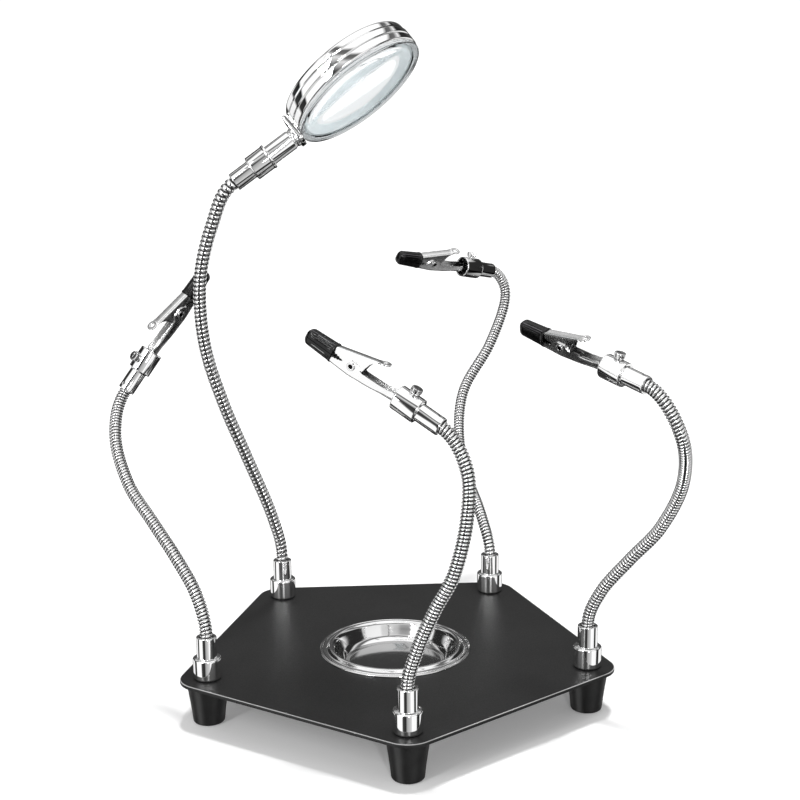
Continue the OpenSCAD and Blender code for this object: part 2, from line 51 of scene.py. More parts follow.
# ---------------------------------------------------------------- sizes shared with the CAD source
RING_R = 105.0
CORNER_R = 14.5
FOOT_H = 22.0
TOP_Z = 24.0
SOCKET_H = 11.5
FERRULE_H = 11.5
MOUTH_Z = TOP_Z + SOCKET_H + FERRULE_H
NECK_R = 3.42
NECK_SEAT = 10.5
HOLDER_SEAT = 8.5
BORE_R = 3.56
COLLAR_R = 6.3
HOLDER_NECK_R = 4.65
HOLDER_NECK = 13.0
CLIP_X = 26.0
CLIP_LEN = 54.0
RIVET_X = 26.0
RIVET_Z = 0.4
JAW_W = 6.6
SHEET_T = 0.6
SLEEVE_LEN = 17.0
SCREW_X = 19.0
STEM_X = 22.0
STEM_LEN = 16.0
BEZEL_H = 12.2
BEZEL_X = 76.5
LENS_R = 33.3
TRAY_R = 41.0
WELL_R = 32.7

ARMS = ["front", "right", "back_right", "back_left", "left"]
LENS_ARM = 3
ROUTES = [
    [(0, 0, 0), (5, -1, 20), (13, -3, 40), (22, -4, 58), (28, -3, 84), (28, 0, 108), (17, 8, 126)],
    [(0, 0, 0), (6, -4, 20), (19, -12, 40), (32, -22, 60), (39, -37, 88), (33, -53, 117),
     (18, -44, 139)],
    [(0, 0, 0), (-4, 15, 21), (-9, 41, 35), (-12, 65, 54), (-7, 87, 80), (12, 107, 106),
     (24, 125, 134), (14, 121, 151)],
    [(0, 0, 0), (-5, -10, 30), (-18, -30, 72), (-29, -47, 107), (-37, -63, 143), (-37, -82, 180),
     (-29, -97, 211), (-17, -106, 233)],
    [(0, 0, 0), (-5, 8, 20), (-16, 22, 36), (-29, 38, 51), (-43, 57, 67), (-51, 77, 89),
     (-46, 94, 110)],
]
TIP_TURNS = [(0, -29, 151), (0, -14, 133), (0, -12, -144), (-28, -35, 8), (25, -53, 18)]
CLIP_TURNS = [0, -20, -30, 0, 0]
LOW_BEND = 1
HIGH_BEND = 4


def socket_at(arm):
    turn = math.radians(-90 + 72 * arm)
    return Vector((RING_R * math.cos(turn), RING_R * math.sin(turn), 0))


def tip_turn(arm):
    roll, tilt, heading = (math.radians(v) for v in TIP_TURNS[arm])
    return (
        Matrix.Rotation(heading, 4, "Z")
        @ Matrix.Rotation(tilt, 4, "Y")
        @ Matrix.Rotation(roll, 4, "X")
    )


def mouth(arm):
    return socket_at(arm) + Vector((0, 0, MOUTH_Z))


def tip_frame(arm):
    return Matrix.Translation(mouth(arm) + Vector(ROUTES[arm][-1])) @ tip_turn(arm)


def clip_frame(arm):
    turn = Matrix.Rotation(math.radians(CLIP_TURNS[arm]), 4, "X")
    return tip_frame(arm) @ Matrix.Translation((CLIP_X, 0, 0)) @ turn


ALONG_X = Matrix.Rotation(math.radians(90), 4, "Y")
ALONG_Y = Matrix.Rotation(math.radians(-90), 4, "X")


# ---------------------------------------------------------------- materials
# Every mesh may carry a painted light value from 0 to 1 a point under this name. What it does is up to
# the material: painted shade on most, a painted highlight on the plate's top edge and on sleeve crests.
PAINTED_LIGHT = "painted_light"
# The colour sockets of a Mix node.
MIX_FACTOR, MIX_A, MIX_B, MIX_OUT = 0, 6, 7, 2


def grey(value):
    return (value, value, value)


def fill_ramp(ramp, stops):
    """Gives a colour ramp its (place, colour) stops, in order."""
    while len(ramp.elements) < len(stops):
        ramp.elements.new(0.5)
    for element, (place, colour) in zip(ramp.elements, stops):
        element.position = place
        element.color = (*colour, 1)


class Shader:
    """A node material with a Principled shader and short calls for its usual nodes."""

    def __init__(self, name, **values):
        self.material = bpy.data.materials.new(name)
        self.material.use_nodes = True
        self.tree = self.material.node_tree
        self.shader = self.tree.nodes["Principled BSDF"]
        for key, value in values.items():
            self.shader.inputs[key.replace("_", " ")].default_value = value
        self.where = self.add("ShaderNodeTexCoord").outputs["Object"]

    def add(self, kind, **sets):
        node = self.tree.nodes.new(kind)
        for key, value in sets.items():
            setattr(node, key, value)
        return node

    def link(self, source, target):
        self.tree.links.new(source, target)

    def noise(self, scale, detail=2.0, rough=0.5, where=None):
        node = self.add("ShaderNodeTexNoise")
        node.inputs["Scale"].default_value = scale
        node.inputs["Detail"].default_value = detail
        node.inputs["Roughness"].default_value = rough
        self.link(where or self.where, node.inputs["Vector"])
        return node.outputs["Fac"]

    def ramp(self, source, stops):
        node = self.add("ShaderNodeValToRGB")
        fill_ramp(node.color_ramp, stops)
        self.link(source, node.inputs["Fac"])
        return node.outputs["Color"]

    def spread(self, source, low, high, start=0.3, end=0.7):
        node = self.add("ShaderNodeMapRange")
        node.inputs["From Min"].default_value = start
        node.inputs["From Max"].default_value = end
        node.inputs["To Min"].default_value = low
        node.inputs["To Max"].default_value = high
        self.link(source, node.inputs["Value"])
        return node.outputs["Result"]

    def bump(self, source, strength, depth, below=None):
        node = self.add("ShaderNodeBump")
        node.inputs["Strength"].default_value = strength
        node.inputs["Distance"].default_value = depth
        self.link(source, node.inputs["Height"])
        if below is not None:
            self.link(below, node.inputs["Normal"])
        return node.outputs["Normal"]

    def painted_light(self):
        return self.add("ShaderNodeAttribute", attribute_name=PAINTED_LIGHT).outputs["Fac"]

    def shaded(self, colour):
        """The colour, darker where the painted light value asks for painted shade."""
        depth = self.ramp(self.painted_light(), [
            (0.0, grey(1.0)), (0.4, grey(0.85)), (0.7, grey(0.35)), (0.88, grey(0.05)), (1.0, grey(0.01)),
        ])
        node = self.add("ShaderNodeMix", data_type="RGBA", blend_type="MULTIPLY")
        node.inputs[MIX_FACTOR].default_value = 1.0
        self.link(colour, node.inputs[MIX_A])
        self.link(depth, node.inputs[MIX_B])
        return node.outputs[MIX_OUT]

    def painted_highlight(self, colour, other):
        """The colour, going over to the other one, a painted highlight, as the painted light value rises.
        """
        node = self.add("ShaderNodeMix", data_type="RGBA")
        self.link(self.painted_light(), node.inputs[MIX_FACTOR])
        self.link(colour, node.inputs[MIX_A])
        node.inputs[MIX_B].default_value = (*other, 1)
        return node.outputs[MIX_OUT]

    def put(self, source, socket):
        self.link(source, self.shader.inputs[socket])


def metal(name, bright, rough_low, rough_high, grain, bump_strength=0.02, dull=0.92):
    s = Shader(name, Metallic=1.0)
    cloud = s.noise(90, 4)
    s.put(s.shaded(s.ramp(cloud, [(0.3, grey(bright * dull)), (0.7, grey(bright))])), "Base Color")
    s.put(s.spread(s.noise(260, 5, 0.6), rough_low, rough_high), "Roughness")
    fine = s.noise(grain, 3)
    s.put(s.bump(fine, bump_strength, 0.0002), "Normal")
    return s.material


def powder_coat():
    s = Shader("powder_coat")
    s.shader.inputs["Specular IOR Level"].default_value = 0.3
    cloud = s.noise(25, 4)
    grains = s.noise(2600, 2)
    coat = s.ramp(cloud, [(0.3, grey(0.0105)), (0.7, grey(0.014))])
    # Painted highlight: where the painted light value is high, on the plate's top edge, the coat goes
    # over to pale grey.
    s.put(s.painted_highlight(coat, grey(0.42)), "Base Color")
    s.put(s.spread(grains, 0.36, 0.5), "Roughness")
    s.put(s.bump(grains, 0.10, 0.0002, s.bump(s.noise(700, 2), 0.05, 0.0004)), "Normal")
    return s.material


def foot_rubber():
    s = Shader("foot_rubber")
    s.put(s.ramp(s.noise(140, 5), [(0.3, grey(0.008)), (0.75, grey(0.014))]), "Base Color")
    s.put(s.spread(s.noise(900, 3), 0.3, 0.4), "Roughness")
    s.put(s.bump(s.noise(2200, 3), 0.06, 0.0003), "Normal")
    return s.material


def tray_steel():
    s = Shader("tray_steel", Metallic=1.0)
    split = s.add("ShaderNodeSeparateXYZ")
    s.link(s.where, split.inputs[0])
    flat = s.add("ShaderNodeCombineXYZ")
    s.link(split.outputs["X"], flat.inputs["X"])
    s.link(split.outputs["Y"], flat.inputs["Y"])
    length = s.add("ShaderNodeVectorMath", operation="LENGTH")
    s.link(flat.outputs[0], length.inputs[0])
    ring = s.add("ShaderNodeCombineXYZ")
    s.link(length.outputs["Value"], ring.inputs["X"])
    rings = s.noise(900, 2, 0.5, ring.outputs[0])
    s.put(s.shaded(s.ramp(s.noise(60, 3), [(0.3, grey(0.8)), (0.7, grey(0.86))])), "Base Color")
    s.put(s.spread(rings, 0.06, 0.12), "Roughness")
    return s.material


def neck_chrome():
    s = Shader("neck_chrome", Metallic=1.0)
    s.put(s.shaded(s.ramp(s.noise(160, 4), [(0.3, grey(0.86)), (0.7, grey(0.93))])), "Base Color")
    s.put(s.spread(s.noise(500, 4), 0.07, 0.16), "Roughness")
    s.put(s.bump(s.noise(1500, 2), 0.03, 0.0002), "Normal")
    return s.material


def sleeve_vinyl():
    s = Shader("sleeve_vinyl")
    s.shader.inputs["Specular IOR Level"].default_value = 0.36
    black = s.ramp(s.noise(220, 4), [(0.3, grey(0.002)), (0.75, grey(0.004))])
    # Painted highlight: chosen rib crests go over to a paler grey, as lengthwise glints.
    s.put(s.painted_highlight(black, (0.105, 0.1, 0.11)), "Base Color")
    s.put(s.spread(s.noise(700, 3), 0.1, 0.16), "Roughness")
    s.put(s.bump(s.noise(900, 3), 0.02, 0.0003), "Normal")
    return s.material


def lens_glass():
    s = Shader("lens_glass")
    s.shader.inputs["Transmission Weight"].default_value = 1.0
    s.shader.inputs["IOR"].default_value = 1.2
    tint = s.ramp(s.noise(30, 2), [(0.3, (0.86, 0.885, 0.895)), (0.7, (0.88, 0.9, 0.91))])
    s.put(s.shaded(tint), "Base Color")
    s.put(s.spread(s.noise(120, 3), 0.0, 0.012), "Roughness")
    return s.material


def pale_plastic():
    s = Shader("pale_plastic")
    s.put(s.ramp(s.noise(60, 3), [(0.3, (0.6, 0.65, 0.66)), (0.7, (0.7, 0.75, 0.76))]), "Base Color")
    s.put(s.spread(s.noise(500, 3), 0.3, 0.42), "Roughness")
    s.put(s.bump(s.noise(900, 3), 0.03, 0.0002), "Normal")
    return s.material


POWDER = powder_coat()
RUBBER = foot_rubber()
ZINC = metal("zinc_steel", 0.62, 0.28, 0.42, 900, 0.08)
CHROME = metal("chrome", 0.94, 0.025, 0.06, 700, 0.008, 0.98)
NECK_CHROME = neck_chrome()
TRAY_STEEL = tray_steel()
SCREW_NICKEL = metal("screw_nickel", 0.86, 0.09, 0.18, 900, 0.03)
JAW_NICKEL = metal("jaw_nickel", 0.95, 0.17, 0.25, 600, 0.008, 0.98)
SPRING_STEEL = metal("spring_steel", 0.6, 0.22, 0.34, 900, 0.05)
VINYL = sleeve_vinyl()
BEZEL_CHROME = metal("bezel_chrome", 0.94, 0.02, 0.045, 500, 0.008, 0.98)
RETAINER = pale_plastic()
GLASS = lens_glass()


# ---------------------------------------------------------------- mesh tools
def finish_mesh(name, verts, faces, sharp=35.0, at=None, shade=None):
    """A mesh in metres from points in millimetres, with sound normals and sharp edges by angle.
    shade holds the painted light value of each point, for painted shade and painted highlights."""
    mesh = bpy.data.meshes.new(name)
    mesh.from_pydata([tuple(v) for v in verts], [], faces)
    work = bmesh.new()
    work.from_mesh(mesh)
    bmesh.ops.recalc_face_normals(work, faces=work.faces)
    place = Matrix.Scale(MM, 4) @ (at or Matrix.Identity(4))
    bmesh.ops.transform(work, matrix=place, verts=work.verts)
    work.to_mesh(mesh)
    work.free()
    mesh.shade_smooth()
    mesh.set_sharp_from_angle(angle=math.radians(sharp))
    if shade is not None:
        attribute = mesh.attributes.new(PAINTED_LIGHT, "FLOAT", "POINT")
        attribute.data.foreach_set("value", np.array(shade, np.float32))
    mesh.update()
    return mesh


def part(name, mesh, material, body, nodes):
    """An object that stands for CAD nodes and rides on a body. A neck has no body, as it blends two."""
    obj = bpy.data.objects.new(name, mesh)
    scene.collection.objects.link(obj)
    mesh.materials.clear()
    mesh.materials.append(material)
    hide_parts(*nodes)
    if body:
        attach(obj, body)
    return obj


def fillet(points, radius=0.4, steps=3, closed=False):
    """Rounds the corners of a line of points. A point may carry its own radius as a third value."""
    out = []
    count = len(points)
    for i, p in enumerate(points):
        here = Vector(p[:2])
        r = p[2] if len(p) > 2 else radius
        if r <= 0 or (not closed and i in (0, count - 1)):
            out.append(tuple(here))
            continue
        a = Vector(points[i - 1][:2]) - here
        b = Vector(points[(i + 1) % count][:2]) - here
        reach = min(r, 0.45 * a.length, 0.45 * b.length)
        start, end = here + a.normalized() * reach, here + b.normalized() * reach
        for k in range(steps + 1):
            t = k / steps
            out.append(tuple(start * (1 - t) ** 2 + here * 2 * t * (1 - t) + end * t * t))
    return out


def lathe(name, profile, sides=48, at=None, sharp=35.0, closed=False, shape=None, shade=None):
    """A turned shape: (radius, height) points swept round +Z. shape(x, y, z) may move each point,
    and shade(x, y, z) gives its painted light value."""
    verts, rows = [], []
    for r, z in profile:
        if r < 1e-6:
            rows.append([len(verts)] * sides)
            verts.append((0, 0, z))
            continue
        rows.append(list(range(len(verts), len(verts) + sides)))
        for k in range(sides):
            turn = 2 * math.pi * k / sides
            verts.append((r * math.cos(turn), r * math.sin(turn), z))
    if shape:
        verts = [shape(*v) for v in verts]
    faces = []
    pairs = list(zip(rows, rows[1:])) + ([(rows[-1], rows[0])] if closed else [])
    for low, high in pairs:
        for k in range(sides):
            n = (k + 1) % sides
            quad = [low[k], low[n], high[n], high[k]]
            face = [v for i, v in enumerate(quad) if v != quad[i - 1]]
            if len(face) > 2:
                faces.append(face)
    dark = [shade(*v) for v in verts] if shade else None
    return finish_mesh(name, verts, faces, sharp, at, dark)


def loft(rings, cap_start=True, cap_end=True):
    """Points and faces of a skin over closed rings that all have the same number of points."""
    count = len(rings[0])
    verts = [p for ring in rings for p in ring]
    faces = []
    for i in range(len(rings) - 1):
        for k in range(count):
            n = (k + 1) % count
            a = i * count
            faces.append((a + k, a + n, a + count + n, a + count + k))
    if cap_start:
        faces.append(tuple(range(count - 1, -1, -1)))
    if cap_end:
        faces.append(tuple(range((len(rings) - 1) * count, len(rings) * count)))
    return verts, faces


def straight(points, x):
    """The height at x of straight lines through (x, height) points."""
    return float(np.interp(x, [p[0] for p in points], [p[1] for p in points]))


def along(points, x):
    """The height at x of a smooth line through (x, height) points."""
    if x <= points[0][0]:
        return points[0][1]
    for (x0, y0), (x1, y1) in zip(points, points[1:]):
        if x <= x1:
            t = (x - x0) / (x1 - x0)
            t = t * t * (3 - 2 * t) * 0.5 + t * 0.5
            return y0 + (y1 - y0) * t
    return points[-1][1]


def joined(name, parts, sharp=35.0, at=None, shade=None):
    verts, faces = [], []
    for v, f in parts:
        base = len(verts)
        verts += list(v)
        faces += [tuple(i + base for i in face) for face in f]
    return finish_mesh(name, verts, faces, sharp, at, shade)


# ---------------------------------------------------------------- base, feet, sockets, tray
def plate_outline(shrink, per_corner=16, per_side=14):
    points = []
    r = CORNER_R - shrink
    for arm in range(5):
        centre, turn = socket_at(arm), -90 + 72 * arm
        for k in range(per_corner + 1):
            q = math.radians(turn - 36 + 72 * k / per_corner)
            points.append((centre.x + r * math.cos(q), centre.y + r * math.sin(q)))
        nxt, q = socket_at((arm + 1) % 5), math.radians(turn + 36)
        a = Vector(points[-1])
        b = Vector((nxt.x + r * math.cos(q), nxt.y + r * math.sin(q)))
        points += [tuple(a.lerp(b, k / per_side)) for k in range(1, per_side)]
    return points


def base_plate():
    hole_r = WELL_R + 0.8
    edge = 0.35
    top_edge_rings = (5, 6)

    def outer(shrink, z):
        return [(x, y, z) for x, y in plate_outline(shrink)]

    def hole(r, z):
        return [(r * x / math.hypot(x, y), r * y / math.hypot(x, y), z) for x, y in plate_outline(0)]

    rings = [hole(hole_r + edge, FOOT_H)]
    rings += [outer(shrink, z) for shrink, z in (
        (edge, FOOT_H), (0.1, FOOT_H + 0.1), (0, FOOT_H + edge), (0, TOP_Z - edge),
        (0.1, TOP_Z - 0.1), (edge, TOP_Z), (edge + 0.12, TOP_Z), (edge + 1.2, TOP_Z),
    )]
    rings += [hole(r, z) for r, z in (
        (TRAY_R - 1, TOP_Z), (hole_r + edge, TOP_Z), (hole_r, TOP_Z - edge), (hole_r, FOOT_H + edge),
    )]
    rings.append(rings[0])
    verts, faces = loft(rings, False, False)
    # Painted highlight: the plate's top edge rings are coloured pale, a bright line along the edge.
    lit = [1.0 if ring in top_edge_rings else 0.0 for ring in range(len(rings)) for _ in rings[0]]
    mesh = finish_mesh("base_plate_look", verts, faces, 40, shade=lit)
    part("base_plate_look", mesh, POWDER, "root", ["base_plate"])


def socket_shade(x, y, z):
    """A socket is dark at its foot, in the crease of its shoulder and inside its mouth."""
    away = math.hypot(x, y)
    if z < 0.45 or away < 3.65:
        return 0.9
    return 0.75 if abs(z - 11.6) < 0.12 and away < 5.5 else 0.0


def feet_and_sockets():
    foot = fillet([
        (4.7, 6, 0), (4.7, 0, 0.3), (8.2, 0, 1.3), (8.9, 6.6, 0), (9.8, 13.2, 0), (11, 21.0, 0.5),
        (10.5, 22, 0.3), (2.8, 22, 0),
    ], steps=4)
    socket = fillet([
        (2.7, 0, 0), (7.1, 0, 0.1), (7.3, 0.6, 0.2), (7.5, 1.1, 0.3), (7.5, 11.5, 1.7),
        (5.3, 11.7, 0.3), (5.3, 22.9, 0.5), (3.6, 23, 0.35), (3.55, 14, 0),
    ], steps=5)
    for arm, name in enumerate(ARMS):
        at = Matrix.Translation(socket_at(arm))
        mesh = lathe(f"foot_look_{name}", foot, 56, at)
        part(mesh.name, mesh, RUBBER, "root", ["rubber_feet"])
        on_plate = at @ Matrix.Translation((0, 0, TOP_Z))
        mesh = lathe(f"socket_look_{name}", socket, 56, on_plate, shade=socket_shade)
        part(mesh.name, mesh, CHROME, "root", ["arm_sockets"])


def parts_tray():
    profile = [
        (0, -7.3, 0), (24.4, -7.3, 0.5), (24.9, -7.05, 0.3), (25.5, -7.3, 0.5), (27.5, -7.3, 1.2),
        (29.6, -5.4, 1.5), (31.9, -0.6, 1.2), (32.9, 1.4, 0.9), (34.2, 2.5, 0.9), (35.8, 2.4, 0.8),
        (37.0, 1.3, 0.6), (37.5, 1.15, 0.2), (38.7, 1.1, 0.15), (38.95, 1.35, 0.1), (39.3, 1.35, 0.1),
        (39.6, 1.0, 0.15), (40.7, 0.9, 0.2), (41.0, 0.55, 0.2), (40.9, 0.02, 0.1),
        (35.2, 0.02, 0), (35.0, 1.3, 0.5), (33.6, 0.8, 0.4), (32.5, -0.8, 0.8), (30.3, -5.6, 1.2),
        (28.2, -8.0, 0.9), (0, -8.0, 0),
    ]

    # Painted dark reflection: the floor of the tray's well is coloured darker.
    def painted_dark_floor(x, y, z):
        return 0.6 if z < -7.0 else 0.0

    at = Matrix.Translation((0, 0, TOP_Z))
    mesh = lathe("tray_look", fillet(profile, steps=4), 144, at, 50, shade=painted_dark_floor)
    part(mesh.name, mesh, TRAY_STEEL, "tray", ["parts_tray"])


# ---------------------------------------------------------------- spiral-wound necks
# How far each neck's winding climbs in a turn, and the sides of a turn.
PITCHES = [1.8, 1.8, 1.9, 2.8, 1.8]
TURN_SIDES = 20
# The section of the winding: how far along a turn, and how deep below the neck's outside.
RIDGE = [
    (0.0, 0.75), (0.1, 0.56), (0.19, 0.26), (0.31, 0.07),
    (0.5, 0.0), (0.69, 0.07), (0.81, 0.26), (0.9, 0.56),
]
# Steps of the centre line in a seat and in a span of the route, and their even spacing afterwards.
SEAT_STEPS = 20
SPAN_STEPS = 60
LINE_STEP = 0.5


def route_line(arm):
    """A neck's centre line, from inside its socket to inside its holder, and its slopes."""
    route = [Vector(p) for p in ROUTES[arm]]
    last = len(route) - 1
    tip = (tip_turn(arm) @ Vector((1, 0, 0, 0))).to_3d()
    slopes = [Vector((0, 0, route[1].length))]
    slopes += [(route[i + 1] - route[i - 1]) / 2 for i in range(1, last)]
    slopes.append(tip * (route[last] - route[last - 1]).length)
    base = mouth(arm)
    line = [base + Vector((0, 0, -NECK_SEAT * (1 - k / SEAT_STEPS))) for k in range(SEAT_STEPS)]
    for i in range(last):
        for k in range(SPAN_STEPS):
            t = k / SPAN_STEPS
            p = (
                route[i] * (2 * t ** 3 - 3 * t ** 2 + 1) + slopes[i] * (t ** 3 - 2 * t ** 2 + t)
                + route[i + 1] * (3 * t ** 2 - 2 * t ** 3) + slopes[i + 1] * (t ** 3 - t ** 2)
            )
            line.append(base + p)
    end = base + route[last]
    line += [end + tip * (HOLDER_SEAT * k / SEAT_STEPS) for k in range(SEAT_STEPS + 1)]
    return np.array([tuple(p) for p in line]), slopes


def neck(arm):
    """A neck's winding: one long screw along its centre line, cut in two between its bends."""
    name = ARMS[arm]
    line, slopes = route_line(arm)
    steps = np.linalg.norm(np.diff(line, axis=0), axis=1)
    dist = np.concatenate([[0], np.cumsum(steps)])
    total = dist[-1]
    grid = np.linspace(0, total, int(total / LINE_STEP) + 1)
    centre = np.stack([np.interp(grid, dist, line[:, k]) for k in range(3)], axis=1)
    ahead = np.gradient(centre, axis=0)
    ahead /= np.linalg.norm(ahead, axis=1)[:, None]
    side = np.zeros_like(ahead)
    side[0] = (1, 0.2, 0)
    for i in range(len(grid)):
        v = side[max(i - 1, 0)] - ahead[i] * np.dot(side[max(i - 1, 0)], ahead[i])
        side[i] = v / np.linalg.norm(v)
    pitch = PITCHES[arm]
    turns = int((total - 0.2) / pitch)
    rows = turns * TURN_SIDES
    m = np.repeat(np.arange(rows + 1), len(RIDGE))
    p = np.tile(np.arange(len(RIDGE)), rows + 1)
    place = pitch * (m / TURN_SIDES + np.array([r[0] for r in RIDGE])[p])
    place = np.minimum(place, total - 0.01)
    dip = np.array([r[1] for r in RIDGE])[p]
    radius = NECK_R - dip
    angle = 2 * np.pi * m / TURN_SIDES
    pick = [np.interp(place, grid, a[:, k]) for a in (centre, side, ahead) for k in range(3)]
    c, u, d = (np.stack(pick[3 * k:3 * k + 3], axis=1) for k in range(3))
    w = np.cross(d, u)
    verts = c + radius[:, None] * (u * np.cos(angle)[:, None] + w * np.sin(angle)[:, None])
    span = len(RIDGE)

    def index(step, k):
        return (step + TURN_SIDES) * span if k == span else step * span + k

    middle = int(split_place(arm, line, dist) / pitch * TURN_SIDES)
    cuts = {"low": (0, middle), "high": (middle, rows - TURN_SIDES)}
    for half, (first, end) in cuts.items():
        faces = [
            (index(s, k), index(s + 1, k), index(s + 1, k + 1), index(s, k + 1))
            for s in range(first, end) for k in range(span)
        ]
        used = sorted({i for f in faces for i in f})
        renumber = {old: new for new, old in enumerate(used)}
        faces = [tuple(renumber[i] for i in f) for f in faces]
        # Painted shade: the deeper a point lies in the winding's groove, the darker its colour.
        depth = dip[used] / max(dip)
        mesh = finish_mesh(f"neck_{half}_look_{name}", verts[used], faces, 60, shade=depth)
        low = half == "low"
        nodes = ["neck_roots", f"neck_mid_{name}"] if low else [f"neck_top_{name}"]
        obj = part(mesh.name, mesh, NECK_CHROME, None, nodes)
        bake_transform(obj)


def split_place(arm, line, dist):
    """How far along the neck the lower piece ends: half way between its two bends."""
    found = []
    for at in (LOW_BEND, HIGH_BEND):
        p = np.array(tuple(mouth(arm) + Vector(ROUTES[arm][at])))
        found.append(dist[np.argmin(np.linalg.norm(line - p, axis=1))])
    return sum(found) / 2


# ---------------------------------------------------------------- holders and thumbscrews
# The punch mark on a holder's neck end: how far along it, its radius and its depth.
MARK_X = 3.0
MARK_R = 1.1
MARK_DEEP = 0.45


def dimpled(x, y, z):
    """Presses the punch mark into the top of a holder's neck end. Lathe Z is the holder's X."""
    away = math.hypot(z - MARK_X, y)
    if x < 0 and away < MARK_R:
        push = MARK_DEEP * (1 - (away / MARK_R) ** 2) ** 2
        return (x + push, y, z)
    return (x, y, z)


def painted_holder_shade(x, y, z):
    """Painted shade: a holder is dark in its mouth, most at the bottom, in its neck bore and in its punch
    mark.
    """
    away = math.hypot(x, y)
    if away < 5.45 and z > 15:
        return 0.95 if z < 21.4 else 0.95 - 0.45 * (z - 21.4) / 4.6
    if z < 8.6 and away < 3.6:
        return 0.9
    if z < HOLDER_NECK_R and x < 0 and math.hypot(z - MARK_X, y) < 0.8 and away > 4:
        return 0.75
    return 0.0


def clip_holder(arm):
    name = ARMS[arm]
    rows = [(HOLDER_NECK_R, 1.4 + 0.25 * k, 0) for k in range(14)]
    profile = fillet([
        (BORE_R, HOLDER_SEAT, 0), (BORE_R, 0.2, 0.2), (HOLDER_NECK_R, 0, 0.35), *rows,
        (HOLDER_NECK_R, HOLDER_NECK - 0.4, 0.3), (5.1, HOLDER_NECK, 0.25),
        (COLLAR_R, HOLDER_NECK, 0.45), (COLLAR_R, CLIP_X - 0.4, 0.35), (6.0, CLIP_X, 0.3),
        (5.4, CLIP_X, 0.25), (5.4, 21.2, 0.3), (3.3, 21, 0.2), (3.3, 15.2, 0),
    ], steps=4)
    at = tip_frame(arm) @ ALONG_X
    mesh = lathe(f"clip_holder_look_{name}", profile, 96, at, 40, shape=dimpled, shade=painted_holder_shade)
    part(mesh.name, mesh, CHROME, f"neck_high_{name}", [f"clip_holder_{name}"])


def lens_holder():
    profile = fillet([
        (BORE_R, HOLDER_SEAT, 0), (BORE_R, 0.2, 0.2), (HOLDER_NECK_R, 0, 0.35),
        (HOLDER_NECK_R, 10.6, 0.3), (5.1, 11, 0.25), (COLLAR_R, 11, 0.45), (COLLAR_R, 20.4, 0.2),
        (6.6, 20.8, 0.2), (6.6, 21.8, 0.3), (6.3, STEM_X, 0.2), (5.3, STEM_X, 0.3), (5.07, 15, 0),
    ], steps=4)
    mesh = lathe("lens_holder_look", profile, 72, tip_frame(LENS_ARM) @ ALONG_X, 40)
    part(mesh.name, mesh, CHROME, "neck_high_back_left", ["lens_holder"])


def thumbscrew(arm):
    name = ARMS[arm]
    head_z, head_h, head_r, notches, count = 6.7, 3.0, 2.9, 12, 96
    at = tip_frame(arm) @ Matrix.Translation((SCREW_X, 0, 0))

    def ring(r, z, depth):
        points = []
        for k in range(count):
            turn = 2 * math.pi * k / count
            notch = max(0.0, math.cos(notches * turn)) ** 2 * depth
            points.append(((r - notch) * math.cos(turn), (r - notch) * math.sin(turn), z))
        return points

    rings = [
        ring(1.5, 3.6, 0), ring(1.5, head_z - 0.05, 0), ring(2.3, head_z, 0),
        ring(2.55, head_z + 0.15, 0), ring(2.6, head_z + 0.5, 0), ring(2.85, head_z + 0.75, 0.2),
        ring(head_r, head_z + 0.95, 0.34), ring(head_r, head_z + head_h - 0.4, 0.34),
        ring(2.8, head_z + head_h - 0.12, 0.3), ring(2.5, head_z + head_h, 0.1),
        ring(2.0, head_z + head_h, 0),
    ]
    body = loft(rings, True, False)
    # The top is two half discs with a slot between them, and the slot has a floor.
    top_z, top_r, half_slot, deep, arc = head_z + head_h, 2.0, 0.42, 0.9, 24
    start = math.asin(half_slot / top_r)
    verts, faces, lows = [], [], []
    for side in (-1, 1):
        first = len(verts)
        for k in range(arc + 1):
            q = start + (math.pi - 2 * start) * k / arc
            verts.append((top_r * math.cos(q), side * top_r * math.sin(q), top_z))
        faces.append(tuple(range(first, first + arc + 1)))
        low = len(verts)
        verts += [(x, y, top_z - deep) for x, y, _ in (verts[first], verts[first + arc])]
        faces.append((first, first + arc, low + 1, low))
        lows.append(low)
    faces.append((lows[0], lows[0] + 1, lows[1] + 1, lows[1]))
    mesh = joined(f"thumbscrew_look_{name}", [body, (verts, faces)], 35, at)
    part(mesh.name, mesh, SCREW_NICKEL, f"screw_{name}", [f"thumbscrew_{name}"])


# ---------------------------------------------------------------- clips
def channel_ring(x, half, low, high, corner, sheet, flip=False):
    """One cross-section of a folded sheet: two cheeks joined by a web below, or above if flip."""
    corner = max(min(corner, (high - low) * 0.8, half - 0.05), sheet * 0.5)
    inner = max(corner - sheet, 0.02)
    outer_pts = [(-half, high)]
    for k in range(7):
        q = math.radians(180 + 90 * k / 6)
        outer_pts.append((-half + corner + corner * math.cos(q), low + corner + corner * math.sin(q)))
    outer_pts += [(-y, z) for y, z in reversed(outer_pts)]
    h, b = half - sheet, low + sheet
    inner_pts = [(-h, high)]
    for k in range(7):
        q = math.radians(180 + 90 * k / 6)
        inner_pts.append((-h + inner + inner * math.cos(q), b + inner + inner * math.sin(q)))
    inner_pts += [(-y, z) for y, z in reversed(inner_pts)]
    top = max(b + 0.02, high)
    inner_pts = [(y, min(max(z, b if abs(y) < h - 1e-6 else z), top)) for y, z in inner_pts]
    ring = outer_pts + list(reversed(inner_pts))
    return [(x, y, -z if flip else z) for y, z in ring]


def inside_dark(rings):
    """Painted light values for channel rings: the inside of the folded sheet is painted in shade."""
    half = len(rings[0]) // 2
    return [0.0 if k < half else 0.38 for _ in rings for k in range(2 * half)]


def stations(start, end, step, extra=()):
    count = int(round((end - start) / step))
    return sorted({round(start + (end - start) * k / count, 3) for k in range(count + 1)} | set(extra))


